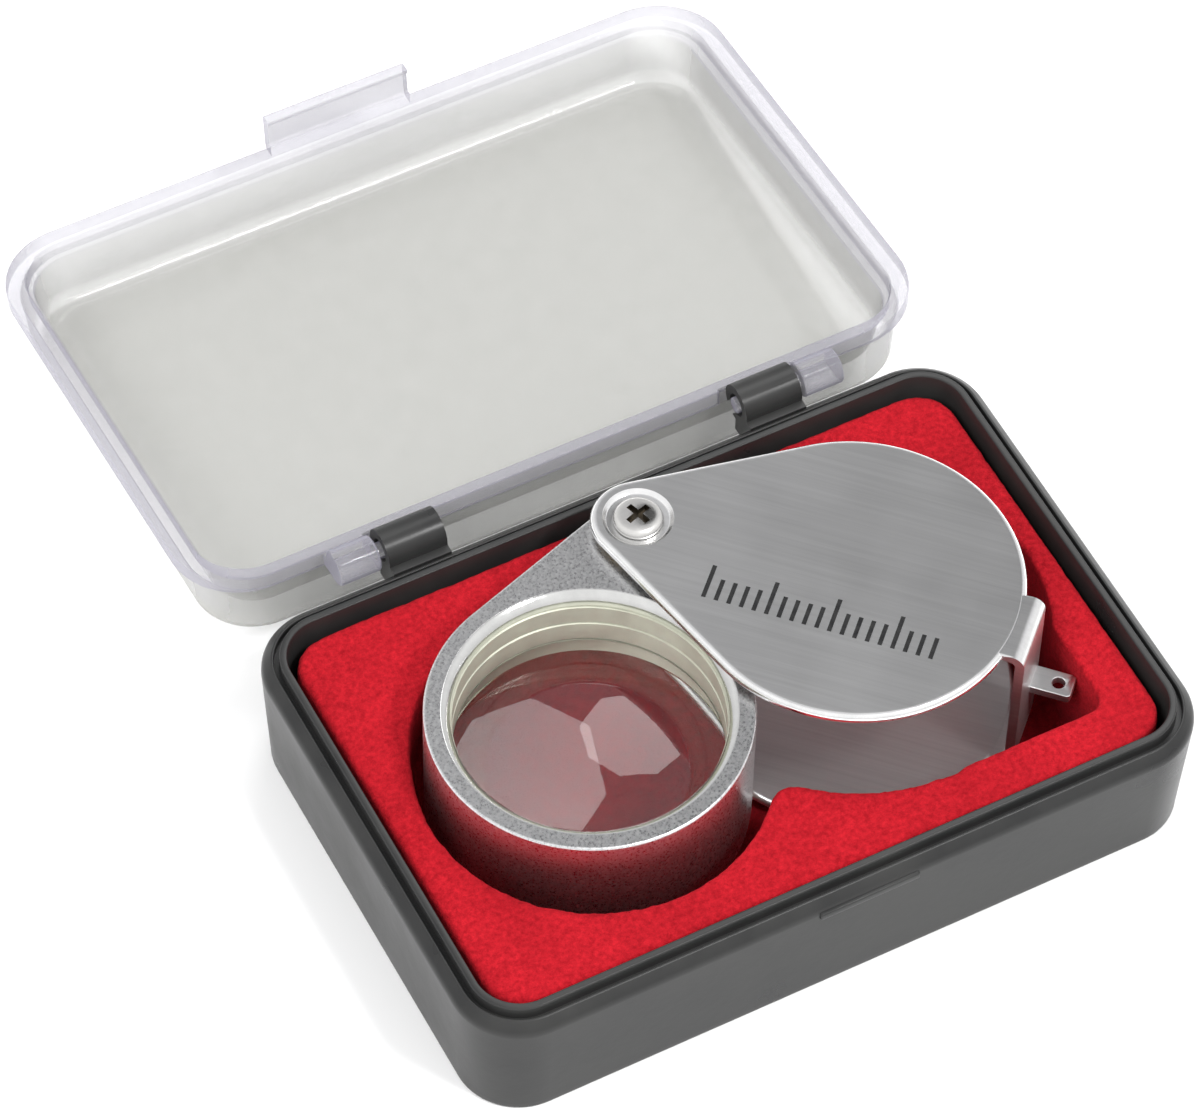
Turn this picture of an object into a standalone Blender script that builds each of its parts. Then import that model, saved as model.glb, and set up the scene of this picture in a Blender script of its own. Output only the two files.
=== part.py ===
"""A folding pocket loupe in its hinged case.

The case base is a black tray with a red foam insert.  A clear lid is hinged
along its rear edge, and it lies open behind the base.  The loupe lies in the
insert: a folded steel cover, and a lens housing that swings out of the cover
on a pivot screw.

Everything is in metres.  The origin is under the middle of the case base, +X
runs along the long side, +Y points to the hinge and +Z is up.
"""
import math

import bmesh
import bpy
from mathutils import Vector

MM = 0.001
MERGE = 0.00001
GAP = 0.0003

# --- Case base ---------------------------------------------------------------
BASE_HALF_X = 31.5 * MM
BASE_HALF_Y = 21.2 * MM
BASE_CORNER = 5.6 * MM
LEDGE_Z = 11.9 * MM
LIP_Z = 12.5 * MM
FLOOR_Z = 1.2 * MM
TRAY_INSET = 2.1 * MM
# Inset from the rim outline and height, from the underside round the rim and
# down to the tray floor: foot radius, drafted wall, shoulder, lid seat, lip.
BASE_SECTION = [
    (1.1, 0.0), (0.65, 0.25), (0.5, 0.8), (0.08, 10.8), (0.0, 11.05), (0.1, 11.35),
    (0.45, 11.72), (0.85, 11.9), (1.0, 11.9), (1.05, 11.35), (1.45, 11.35), (1.5, 12.35),
    (1.62, 12.5), (1.98, 12.5), (2.1, 12.35), (2.3, 1.2),
]
CORNER_STEPS = 7

# --- Hinge -------------------------------------------------------------------
HINGE_Y = 23.05 * MM
HINGE_Z = 12.2 * MM
LID_OPEN_DEG = 186.0
KNUCKLE_X = 15.7 * MM
KNUCKLE_WIDTH = 5.0 * MM
KNUCKLE_R = 1.75 * MM
KNUCKLE_BORE_R = 1.0 * MM
PIN_R = 0.7 * MM
LUG_WIDTH = 3.5 * MM
LUG_R = 1.5 * MM
BARREL_STEPS = 24

# --- Case lid, as it lies when closed: half width, front, rear, corner, depth --
LID_SEAT_Z = LEDGE_Z + GAP
LID_OUTSIDE = [
    (32.3, -21.25, 20.95, 5.9, 0.0), (32.5, -21.45, 21.15, 6.1, 0.2),
    (32.5, -21.45, 21.15, 6.1, 1.4), (32.3, -21.25, 20.95, 5.9, 1.6),
    (31.3, -20.95, 20.75, 5.3, 1.75), (30.95, -20.6, 20.4, 5.1, 6.5),
    (30.75, -20.4, 20.2, 4.9, 7.0), (30.25, -19.9, 19.7, 4.4, 7.3),
]
LID_INSIDE = [
    (28.0, -17.7, 17.5, 2.7, 6.15), (28.75, -18.45, 18.25, 3.3, 6.0),
    (29.35, -19.05, 18.85, 3.7, 5.5), (29.7, -19.4, 19.2, 3.9, 4.6),
    (30.1, -19.8, 19.6, 4.1, 1.75), (30.7, -20.0, 20.0, 4.5, 1.5),
    (30.7, -20.0, 20.0, 4.5, 0.2), (30.85, -20.15, 20.1, 4.6, 0.0),
]
BEAD_REAR_Y = 20.8 * MM
TAB_HALF_X = 6.4 * MM
TAB_LOW_Z = 9.6 * MM
CATCH_X = (-3.5 * MM, 5.0 * MM)

# --- Foam insert -------------------------------------------------------------
INSERT_LOW_Z = FLOOR_Z + GAP
INSERT_TOP_Z = 11.2 * MM
POCKET_FLOOR_Z = 2.0 * MM

# --- Loupe -------------------------------------------------------------------
PIVOT = Vector((-0.76 * MM, 13.45 * MM))
COVER_DEG = -45.67
LENS_DEG = -129.73
LENS_REACH = 17.4 * MM
LEAF_THICK = 0.8 * MM
LEAF_LOW_Z = 2.8 * MM
LEAF_TOP_Z = 17.4 * MM
LEAF_END_R = 3.7 * MM
LEAF_ROUND_R = 13.2 * MM
SPINE_REACH = 31.9 * MM
SPINE_SIDES = (-3.5 * MM, 2.5 * MM)
SPINE_BEND = 1.3 * MM
DIMPLE_R = 2.75 * MM
DIMPLE_DEPTH = 0.35 * MM
HOUSING_LOW_Z = 4.3 * MM
HOUSING_TOP_Z = 15.9 * MM
HOUSING_R = 12.62 * MM
HOUSING_END_R = 3.3 * MM
BORE_R = 11.0 * MM
BORE_MOUTH_R = 11.28 * MM
ROUND_STEPS = 72
OUTLINE_STEPS = 72

MIRROR_X = (-1, 1)


# --- Helpers -----------------------------------------------------------------
def clear_scene():
    for item in list(bpy.data.objects):
        bpy.data.objects.remove(item, do_unlink=True)


def collection(name):
    group = bpy.data.collections.new(name)
    bpy.context.scene.collection.children.link(group)
    return group


def material(name, color, roughness, metallic=0.0, alpha=1.0):
    mat = bpy.data.materials.new(name)
    mat.use_nodes = True
    shader = mat.node_tree.nodes["Principled BSDF"]
    shader.inputs["Base Color"].default_value = (*color, 1.0)
    shader.inputs["Roughness"].default_value = roughness
    shader.inputs["Metallic"].default_value = metallic
    shader.inputs["Alpha"].default_value = alpha
    mat.diffuse_color = (*color, alpha)
    return mat


def smooth(mesh, angle=35.0):
    mesh.shade_smooth()
    mesh.set_sharp_from_angle(angle=math.radians(angle))


def place(obj, group, mat=None, parent=None):
    group.objects.link(obj)
    if mat is not None:
        obj.data.materials.append(mat)
    if parent is not None:
        obj.parent = parent
    return obj


def rounded_rectangle(x0, x1, y0, y1, radius, z):
    """Counter-clockwise loop of points with arcs at the four corners."""
    corners = [
        (x1 - radius, y1 - radius, 0.0), (x0 + radius, y1 - radius, 90.0),
        (x0 + radius, y0 + radius, 180.0), (x1 - radius, y0 + radius, 270.0),
    ]
    loop = []
    for cx, cy, start in corners:
        for step in range(CORNER_STEPS + 1):
            turn = math.radians(start + 90.0 * step / CORNER_STEPS)
            loop.append((cx + radius * math.cos(turn), cy + radius * math.sin(turn), z))
    return loop


def hull_outline(circles, steps=OUTLINE_STEPS):
    """Outline round a set of (x, y, radius) circles, as a string pulled tight."""
    points = []
    for step in range(steps):
        turn = 2 * math.pi * (step + 0.5) / steps
        out = Vector((math.cos(turn), math.sin(turn)))
        reach = [Vector(c[:2]).dot(out) + c[2] for c in circles]
        x, y, radius = circles[reach.index(max(reach))]
        points.append((x + radius * out.x, y + radius * out.y))
    return points


def arc(cx, cy, radius, start, stop, steps=8):
    turns = [math.radians(start + (stop - start) * k / steps) for k in range(steps + 1)]
    return [(cx + radius * math.cos(t), cy + radius * math.sin(t)) for t in turns]


def loft(name, loops):
    """Solid skinned through loops of equal length and closed flat at both ends."""
    bm = bmesh.new()
    rows = [[bm.verts.new(p) for p in loop] for loop in loops]
    count = len(rows[0])
    for low, high in zip(rows, rows[1:]):
        for k in range(count):
            after = (k + 1) % count
            bm.faces.new((low[k], low[after], high[after], high[k]))
    bm.faces.new(reversed(rows[0]))
    bm.faces.new(rows[-1])
    bmesh.ops.recalc_face_normals(bm, faces=bm.faces)
    mesh = bpy.data.meshes.new(name)
    bm.to_mesh(mesh)
    bm.free()
    smooth(mesh)
    return bpy.data.objects.new(name, mesh)


def plate(name, outline, z0, z1):
    """Flat outline given a thickness: a filled 2D curve turned into a mesh."""
    curve = bpy.data.curves.new(name, "CURVE")
    curve.dimensions = "2D"
    curve.fill_mode = "BOTH"
    curve.extrude = (z1 - z0) / 2
    spline = curve.splines.new("POLY")
    spline.points.add(len(outline) - 1)
    for point, (x, y) in zip(spline.points, outline):
        point.co = (x, y, 0.0, 1.0)
    spline.use_cyclic_u = True
    drawn = bpy.data.objects.new(name + "_outline", curve)
    bpy.context.scene.collection.objects.link(drawn)
    depsgraph = bpy.context.evaluated_depsgraph_get()
    mesh = bpy.data.meshes.new_from_object(drawn.evaluated_get(depsgraph))
    bpy.data.objects.remove(drawn, do_unlink=True)
    bm = bmesh.new()
    bm.from_mesh(mesh)
    bmesh.ops.remove_doubles(bm, verts=bm.verts, dist=MERGE)
    bmesh.ops.translate(bm, verts=bm.verts, vec=(0, 0, (z0 + z1) / 2))
    bmesh.ops.recalc_face_normals(bm, faces=bm.faces)
    bm.to_mesh(mesh)
    bm.free()
    mesh.name = name
    smooth(mesh)
    return bpy.data.objects.new(name, mesh)


def block(name, x0, x1, y0, y1, z0, z1):
    bm = bmesh.new()
    bmesh.ops.create_cube(bm, size=1.0)
    bmesh.ops.scale(bm, verts=bm.verts, vec=(x1 - x0, y1 - y0, z1 - z0))
    bmesh.ops.translate(bm, verts=bm.verts, vec=((x0 + x1) / 2, (y0 + y1) / 2, (z0 + z1) / 2))
    mesh = bpy.data.meshes.new(name)
    bm.to_mesh(mesh)
    bm.free()
    return bpy.data.objects.new(name, mesh)


def rod_x(name, x0, x1, y, z, radius, steps=BARREL_STEPS):
    """Cylinder lying along X."""
    bm = bmesh.new()
    bmesh.ops.create_cone(bm, cap_ends=True, segments=steps, radius1=radius, radius2=radius,
                          depth=abs(x1 - x0))
    mesh = bpy.data.meshes.new(name)
    bm.to_mesh(mesh)
    bm.free()
    smooth(mesh)
    obj = bpy.data.objects.new(name, mesh)
    obj.rotation_euler.y = math.pi / 2
    obj.location = ((x0 + x1) / 2, y, z)
    return obj


def turned(name, profile, x=0.0, y=0.0, steps=ROUND_STEPS, closed=True):
    """Solid of revolution about a vertical axis.

    The profile is a list of (radius, z) that runs down the outer side.  A
    closed one is a ring's section, and an open one starts and ends on the axis.
    """
    bm = bmesh.new()
    verts = [bm.verts.new((r, 0.0, z)) for r, z in profile]
    for first, second in zip(verts, verts[1:]):
        bm.edges.new((first, second))
    if closed:
        bm.edges.new((verts[-1], verts[0]))
    mesh = bpy.data.meshes.new(name)
    bm.to_mesh(mesh)
    bm.free()
    obj = bpy.data.objects.new(name, mesh)
    obj.location = (x, y, 0.0)
    screw = obj.modifiers.new("turn", "SCREW")
    screw.steps = steps
    screw.render_steps = steps
    screw.use_merge_vertices = True
    screw.merge_threshold = MERGE
    screw.use_smooth_shade = True
    return obj


def combine(obj, other, operation, cutters):
    """Boolean with another object, which stays in the cutters' collection."""
    if other.name not in cutters.objects:
        cutters.objects.link(other)
    other.hide_render = True
    other.display_type = "WIRE"
    tool = obj.modifiers.new(operation.lower(), "BOOLEAN")
    tool.operation = operation
    tool.solver = "EXACT"
    tool.object = other
    return tool


def bevel(obj, width, segments=2, angle=40.0):
    edge = obj.modifiers.new("bevel", "BEVEL")
    edge.width = width
    edge.segments = segments
    edge.limit_method = "ANGLE"
    edge.angle_limit = math.radians(angle)
    return edge


def pivot_frame(name, group, location, rotation):
    empty = bpy.data.objects.new(name, None)
    empty.location = location
    empty.rotation_euler = rotation
    group.objects.link(empty)
    return empty


# --- Case --------------------------------------------------------------------
def build_case_base(group, cutters, black):
    loops = []
    for inset_mm, z_mm in BASE_SECTION:
        inset = inset_mm * MM
        half_x = BASE_HALF_X - inset
        half_y = BASE_HALF_Y - inset
        radius = BASE_CORNER - inset
        loops.append(rounded_rectangle(-half_x, half_x, -half_y, half_y, radius, z_mm * MM))
    base = place(loft("case_base", loops), group, black)
    for side in MIRROR_X:
        mid = side * KNUCKLE_X
        x0 = mid - KNUCKLE_WIDTH / 2
        x1 = mid + KNUCKLE_WIDTH / 2
        web = block("knuckle_web", x0, x1, 20.4 * MM, HINGE_Y, 9.2 * MM, LEDGE_Z)
        combine(base, web, "UNION", cutters)
        combine(base, rod_x("knuckle", x0, x1, HINGE_Y, HINGE_Z, KNUCKLE_R), "UNION", cutters)
        bore = rod_x("knuckle_bore", x0 - MM, x1 + MM, HINGE_Y, HINGE_Z, KNUCKLE_BORE_R)
        combine(base, bore, "DIFFERENCE", cutters)
        mouth = block("knuckle_mouth", -4 * MM, 4 * MM, -0.55 * MM, 0.55 * MM, -3.0 * MM, 0.0)
        mouth.location = (mid, HINGE_Y, HINGE_Z)
        mouth.rotation_euler.x = math.radians(35)
        combine(base, mouth, "DIFFERENCE", cutters)
    front = -BASE_HALF_Y
    ridge = block("catch_ridge", CATCH_X[0], CATCH_X[1], front - 0.2 * MM, front + MM,
                  10.3 * MM, 10.8 * MM)
    combine(base, ridge, "UNION", cutters)


def lid_loop(entry):
    half_x, front, rear, radius, depth = (value * MM for value in entry)
    return rounded_rectangle(-half_x, half_x, front - HINGE_Y, rear - HINGE_Y, radius,
                             LID_SEAT_Z + depth - HINGE_Z)


def build_case_lid(group, cutters, clear):
    """Built closed, about the hinge axis, and swung open on its frame."""
    frame = pivot_frame("lid_hinge_axis", group, (0, HINGE_Y, HINGE_Z),
                        (math.radians(-LID_OPEN_DEG), 0, 0))
    loops = [lid_loop(entry) for entry in reversed(LID_OUTSIDE)]
    loops += [lid_loop(entry) for entry in reversed(LID_INSIDE)]
    lid = place(loft("case_lid", loops), group, clear, frame)

    def attach(tool, operation):
        tool.parent = frame
        combine(lid, tool, operation, cutters)

    seat = LID_SEAT_Z - HINGE_Z
    for side in MIRROR_X:
        mid = side * KNUCKLE_X
        notch = block("knuckle_notch", mid - 3.0 * MM, mid + 3.0 * MM, BEAD_REAR_Y - HINGE_Y,
                      22.0 * MM - HINGE_Y, seat - 0.5 * MM, seat + 1.7 * MM)
        attach(notch, "DIFFERENCE")
        inner = side * (KNUCKLE_X + KNUCKLE_WIDTH / 2 + 0.5 * MM)
        outer = inner + side * LUG_WIDTH
        arm = block("hinge_lug_arm", min(inner, outer), max(inner, outer),
                    20.4 * MM - HINGE_Y, -0.3 * MM, seat, seat + LUG_R - 0.1 * MM)
        attach(arm, "UNION")
        attach(rod_x("hinge_lug", inner, outer, 0.0, 0.0, LUG_R), "UNION")
        tip = side * (KNUCKLE_X - KNUCKLE_WIDTH / 2 - 0.2 * MM)
        attach(rod_x("hinge_pin", tip, (inner + outer) / 2, 0.0, 0.0, PIN_R), "UNION")
    # One bent strip: the root, the skirt that hangs from it and the hook under it.
    low = TAB_LOW_Z - HINGE_Z
    tab_section = [
        (-21.2, seat + 1.2 * MM), (-21.2, seat), (-21.75, seat), (-21.75, low + 0.7 * MM),
        (-21.55, low + 0.4 * MM), (-21.55, low), (-22.35, low), (-22.65, low + 0.3 * MM),
        (-22.65, seat + 0.9 * MM), (-22.35, seat + 1.2 * MM),
    ]
    outline = [(y * MM - HINGE_Y, z) for y, z in tab_section]
    tab = plate("closure_tab", outline, -TAB_HALF_X, TAB_HALF_X)
    tab.rotation_euler = (math.pi / 2, 0, math.pi / 2)
    attach(tab, "UNION")


def fillet_outline(first, second, radius):
    """Ground to cut away so that the cusp under two circles gets a round nose.

    The nose is an arc that touches both circles from outside.
    """
    c1, c2 = Vector(first[:2]), Vector(second[:2])
    r1, r2 = first[2] + radius, second[2] + radius
    apart = (c2 - c1).length
    along = (apart ** 2 + r1 ** 2 - r2 ** 2) / (2 * apart)
    down = math.sqrt(r1 ** 2 - along ** 2)
    unit = (c2 - c1) / apart
    centre = c1 + along * unit + down * Vector((unit.y, -unit.x))
    start = math.degrees(math.atan2(c1.y - centre.y, c1.x - centre.x))
    stop = math.degrees(math.atan2(c2.y - centre.y, c2.x - centre.x))
    return [tuple(c1)] + arc(centre.x, centre.y, radius, start, stop, 10) + [tuple(c2)]


def build_insert(group, cutters, red):
    half_x, half_y, radius = 28.9 * MM, 18.6 * MM, 3.2 * MM
    loops = []
    for inset_mm, z in [(0.0, INSERT_LOW_Z), (0.0, INSERT_TOP_Z - 0.8 * MM),
                        (0.25 * MM, INSERT_TOP_Z - 0.25 * MM), (0.9 * MM, INSERT_TOP_Z)]:
        loops.append(rounded_rectangle(-half_x + inset_mm, half_x - inset_mm,
                                       -half_y + inset_mm, half_y - inset_mm,
                                       radius - inset_mm, z))
    insert = place(loft("foam_insert", loops), group, red)
    pivot_well = (PIVOT.x, PIVOT.y, 4.7 * MM)
    ring_front = (-12.06 * MM, -1.17 * MM, 13.83 * MM)
    ring_rear = (-11.9 * MM, 0.1 * MM, 13.6 * MM)
    cover_well = (11.4 * MM, 0.9 * MM, 15.5 * MM)
    corner = [(11.4, -14.5), (24.3, -14.5), (25.1, -13.7), (25.1, -5.0), (11.4, -5.0)]
    wells = {
        "ring_well": hull_outline([pivot_well, ring_front, ring_rear]),
        "cover_well": hull_outline([pivot_well, cover_well]),
        "cusp_nose": fillet_outline(ring_front, cover_well, 2.6 * MM),
        "corner_well": [(x * MM, y * MM) for x, y in corner],
    }
    for name, outline in wells.items():
        well = plate(name, outline, POCKET_FLOOR_Z, INSERT_TOP_Z + 2 * MM)
        combine(insert, well, "DIFFERENCE", cutters)


# --- Loupe -------------------------------------------------------------------
def spine_outline():
    """Section of the folded strip that joins the two leaves, in reach and height."""
    inner = SPINE_BEND - LEAF_THICK
    start = 24.0 * MM
    bend_x = SPINE_REACH - SPINE_BEND
    low_z, top_z = LEAF_LOW_Z + SPINE_BEND, LEAF_TOP_Z - SPINE_BEND
    points = [(start, LEAF_LOW_Z)]
    points += arc(bend_x, low_z, SPINE_BEND, -90, 0, 5)
    points += arc(bend_x, top_z, SPINE_BEND, 0, 90, 5)
    points += [(start, LEAF_TOP_Z), (start, LEAF_TOP_Z - LEAF_THICK)]
    points += arc(bend_x, top_z, inner, 90, 0, 5)
    points += arc(bend_x, low_z, inner, 0, -90, 5)
    points.append((start, LEAF_LOW_Z + LEAF_THICK))
    return points


def build_cover(group, cutters, steel, frame):
    leaf = hull_outline([(0, 0, LEAF_END_R), (LENS_REACH, 0, LEAF_ROUND_R)])
    cover = place(plate("cover", leaf, LEAF_TOP_Z - LEAF_THICK, LEAF_TOP_Z), group, steel, frame)

    def attach(tool, operation):
        tool.parent = frame
        combine(cover, tool, operation, cutters)

    side_0, side_1 = SPINE_SIDES
    spine = plate("spine", spine_outline(), -side_1, -side_0)
    spine.rotation_euler.x = math.pi / 2
    attach(spine, "UNION")
    attach(plate("lower_leaf", leaf, LEAF_LOW_Z, LEAF_LOW_Z + LEAF_THICK), "UNION")
    lug_y, corner = 1.0 * MM, 0.35 * MM
    lug = hull_outline([(x * MM, lug_y + side * 0.75 * MM, corner)
                        for x in (31.6, 34.75) for side in MIRROR_X], 32)
    attach(plate("lanyard_lug", lug, 8.6 * MM, 9.4 * MM), "UNION")
    eye = [(0.0, 10.5 * MM), (0.5 * MM, 10.5 * MM), (0.5 * MM, 7.5 * MM), (0.0, 7.5 * MM)]
    attach(turned("lanyard_eye", eye, 33.9 * MM, lug_y, 20, closed=False), "DIFFERENCE")
    hole_r = 1.15 * MM
    top, low = LEAF_TOP_Z, LEAF_LOW_Z
    waist = DIMPLE_R - 0.5 * MM
    drill = [
        (0.0, top + MM), (DIMPLE_R, top + MM), (DIMPLE_R, top), (waist, top - DIMPLE_DEPTH),
        (hole_r, top - DIMPLE_DEPTH), (hole_r, low + DIMPLE_DEPTH), (waist, low + DIMPLE_DEPTH),
        (DIMPLE_R, low), (DIMPLE_R, low - MM), (0.0, low - MM),
    ]
    attach(turned("pivot_drill", drill, steps=32, closed=False), "DIFFERENCE")


def build_pivot(group, cutters, steel, bronze, frame):
    """Threaded sleeve, one screw at each end and the two friction washers."""
    sleeve = [(1.6 * MM, 16.5 * MM), (1.6 * MM, 3.7 * MM), (1.1 * MM, 3.7 * MM),
              (1.1 * MM, 16.5 * MM)]
    place(turned("pivot_sleeve", sleeve, steps=32), group, steel, frame)
    head_r, head, crown, shank_r = 1.95 * MM, 0.55 * MM, 0.8 * MM, 0.95 * MM
    shank_end = 5.6 * MM
    screw = [
        (0.0, crown), (0.9 * MM, 0.76 * MM), (1.5 * MM, 0.66 * MM), (1.85 * MM, 0.45 * MM),
        (head_r, 0.2 * MM), (head_r, 0.0), (shank_r, 0.0), (shank_r, 0.4 * MM - shank_end),
        (0.6 * MM, -shank_end), (0.0, -shank_end),
    ]
    seat = DIMPLE_DEPTH - 0.05 * MM
    for name, sign, z in (("pivot_screw_top", 1, LEAF_TOP_Z - seat),
                          ("pivot_screw_bottom", -1, LEAF_LOW_Z + seat)):
        profile = [(r, z + sign * h) for r, h in screw]
        if sign < 0:
            profile.reverse()
        body = place(turned(name, profile, steps=32, closed=False), group, steel, frame)
        for turn in (20, 110):
            slot = block(name + "_slot", -1.15 * MM, 1.15 * MM, -0.22 * MM, 0.22 * MM,
                         -head / 2, 2 * MM)
            slot.location = (0, 0, z + sign * head)
            slot.rotation_euler = (0 if sign > 0 else math.pi, 0, math.radians(turn))
            slot.parent = frame
            combine(body, slot, "DIFFERENCE", cutters)
    for name, z in (("washer_top", 16.05 * MM), ("washer_bottom", 3.75 * MM)):
        ring = [(2.9 * MM, z + 0.4 * MM), (2.9 * MM, z), (1.8 * MM, z), (1.8 * MM, z + 0.4 * MM)]
        place(turned(name, ring, steps=32), group, bronze, frame)


def build_housing(group, cutters, satin, frame):
    outline = hull_outline([(0, 0, HOUSING_END_R), (LENS_REACH, 0, HOUSING_R)], 96)
    housing = place(plate("lens_housing", outline, HOUSING_LOW_Z, HOUSING_TOP_Z), group, satin,
                    frame)
    bevel(housing, 0.25 * MM, 1)
    top, low, chamfer = HOUSING_TOP_Z, HOUSING_LOW_Z, 0.4 * MM
    bore = [
        (0.0, top + MM), (BORE_MOUTH_R, top + MM), (BORE_MOUTH_R, top), (BORE_R, top - chamfer),
        (BORE_R, low + chamfer), (BORE_MOUTH_R, low), (BORE_MOUTH_R, low - MM), (0.0, low - MM),
    ]
    lens_bore = turned("lens_bore", bore, LENS_REACH, 0.0, closed=False)
    pivot_hole = [(0.0, top + MM), (1.75 * MM, top + MM), (1.75 * MM, low - MM), (0.0, low - MM)]
    pivot_bore = turned("pivot_bore", pivot_hole, steps=32, closed=False)
    for tool in (lens_bore, pivot_bore):
        tool.parent = frame
        combine(housing, tool, "DIFFERENCE", cutters)


def dome(radius_of_curve, half_width, z_edge, sign, steps=7):
    """Points of a lens face from its axis to its edge."""
    sag = radius_of_curve - math.sqrt(radius_of_curve ** 2 - half_width ** 2)
    points = []
    for k in range(steps + 1):
        r = half_width * k / steps
        rise = math.sqrt(radius_of_curve ** 2 - r ** 2) - (radius_of_curve - sag)
        points.append((r, z_edge + sign * rise))
    return points


def build_optics(group, glass, alloy, polished, frame):
    """Two plano-convex lenses, flat sides inward, on a spacer between two rings."""
    lens_r, ring_r, clear_r = 10.85 * MM, 10.9 * MM, 10.45 * MM
    for name, sign, z_flat, rim, curve in (
            ("lens_top", 1, 9.3 * MM, 1.0 * MM, 25.0 * MM),
            ("lens_bottom", -1, 6.2 * MM, 0.6 * MM, 60.0 * MM)):
        edge = z_flat + sign * rim
        profile = dome(curve, clear_r, edge, sign)
        profile += [(lens_r, edge - sign * 0.05 * MM), (lens_r, z_flat), (0.0, z_flat)]
        if sign < 0:
            profile.reverse()
        place(turned(name, profile, LENS_REACH, 0.0, closed=False), group, glass, frame)
    for name, sign, z_in, z_out in (("retaining_ring_top", 1, 10.45 * MM, 15.45 * MM),
                                    ("retaining_ring_bottom", -1, 5.45 * MM, 4.7 * MM)):
        profile = [(ring_r, z_out), (ring_r, z_in), (clear_r, z_in),
                   (clear_r, z_out - sign * 0.35 * MM), (ring_r - 0.12 * MM, z_out)]
        if sign < 0:
            profile.reverse()
        place(turned(name, profile, LENS_REACH, 0.0), group, polished, frame)
    lip_r = clear_r - 0.3 * MM
    profile = [(lens_r, 9.15 * MM), (lens_r, 6.35 * MM), (lip_r, 6.35 * MM),
               (clear_r, 6.65 * MM), (clear_r, 7.55 * MM), (lip_r, 7.75 * MM),
               (clear_r, 7.95 * MM), (clear_r, 8.85 * MM), (lip_r, 9.15 * MM)]
    place(turned("lens_spacer", profile, LENS_REACH, 0.0), group, alloy, frame)


def main():
    clear_scene()
    group = collection("pocket_loupe")
    cutters = collection("cutters")
    black = material("black_case", (0.02, 0.02, 0.021), 0.35)
    clear = material("clear_lid", (0.86, 0.86, 0.88), 0.08, alpha=0.35)
    red = material("red_flock", (0.62, 0.015, 0.03), 0.95)
    steel = material("brushed_cover", (0.55, 0.55, 0.55), 0.3, 1.0)
    screw_steel = material("screw_steel", (0.68, 0.68, 0.66), 0.22, 1.0)
    bronze = material("washer_bronze", (0.6, 0.42, 0.2), 0.35, 1.0)
    satin = material("satin_housing", (0.6, 0.6, 0.6), 0.38, 1.0)
    glass = material("lens_glass", (0.95, 0.95, 0.95), 0.02, alpha=0.3)
    spacer = material("spacer_alloy", (0.62, 0.62, 0.5), 0.3, 1.0)
    polished = material("polished_ring", (0.75, 0.75, 0.75), 0.12, 1.0)

    build_case_base(group, cutters, black)
    build_case_lid(group, cutters, clear)
    build_insert(group, cutters, red)
    at_pivot = (PIVOT.x, PIVOT.y, 0.0)
    cover_frame = pivot_frame("cover_axis", group, at_pivot, (0, 0, math.radians(COVER_DEG)))
    lens_frame = pivot_frame("lens_axis", group, at_pivot, (0, 0, math.radians(LENS_DEG)))
    build_cover(group, cutters, steel, cover_frame)
    build_pivot(group, cutters, screw_steel, bronze, cover_frame)
    build_housing(group, cutters, satin, lens_frame)
    build_optics(group, glass, spacer, polished, lens_frame)


main()
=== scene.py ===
"""Looks for the folding pocket loupe in its hinged case.

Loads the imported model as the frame, replaces its plain nodes with detailed
pieces of the same size, and sets up materials, floor, light and camera.
Lengths are metres; MM turns millimetres into metres.
"""
import math

import bmesh
import bpy
from mathutils import Matrix, Vector


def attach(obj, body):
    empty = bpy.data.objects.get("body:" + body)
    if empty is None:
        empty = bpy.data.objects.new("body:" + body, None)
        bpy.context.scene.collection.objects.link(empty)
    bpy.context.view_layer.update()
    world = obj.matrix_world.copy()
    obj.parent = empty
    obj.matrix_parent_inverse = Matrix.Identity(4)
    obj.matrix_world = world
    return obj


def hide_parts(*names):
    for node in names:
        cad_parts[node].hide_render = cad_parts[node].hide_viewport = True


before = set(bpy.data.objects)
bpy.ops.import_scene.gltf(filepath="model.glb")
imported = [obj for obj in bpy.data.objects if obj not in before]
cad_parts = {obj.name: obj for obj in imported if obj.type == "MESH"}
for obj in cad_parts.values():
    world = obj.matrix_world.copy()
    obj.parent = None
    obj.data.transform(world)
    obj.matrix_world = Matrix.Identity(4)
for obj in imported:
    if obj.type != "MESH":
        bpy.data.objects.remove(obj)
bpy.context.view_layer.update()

MM = 0.001

# --- Camera ------------------------------------------------------------------
CAMERA_AZIMUTH = -28.87
CAMERA_ELEVATION = 53.758
CAMERA_ROLL = 1.573
CAMERA_TARGET = Vector((-1.783 * MM, 17.476 * MM, 8.0 * MM))
CAMERA_DISTANCE = 472.689 * MM
CAMERA_LENS = 180.92

# --- Case --------------------------------------------------------------------
BASE_HALF_X = 31.5
BASE_HALF_Y = 21.2
BASE_CORNER = 5.6
HINGE = Vector((0.0, 23.05 * MM, 12.2 * MM))
LID_OPEN = math.radians(186.0)
KNUCKLE_X = 15.7
KNUCKLE_WIDTH = 5.0
KNUCKLE_R = 1.75
KNUCKLE_BORE_R = 1.0
LUG_R = 1.5
PIN_R = 0.7

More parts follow.
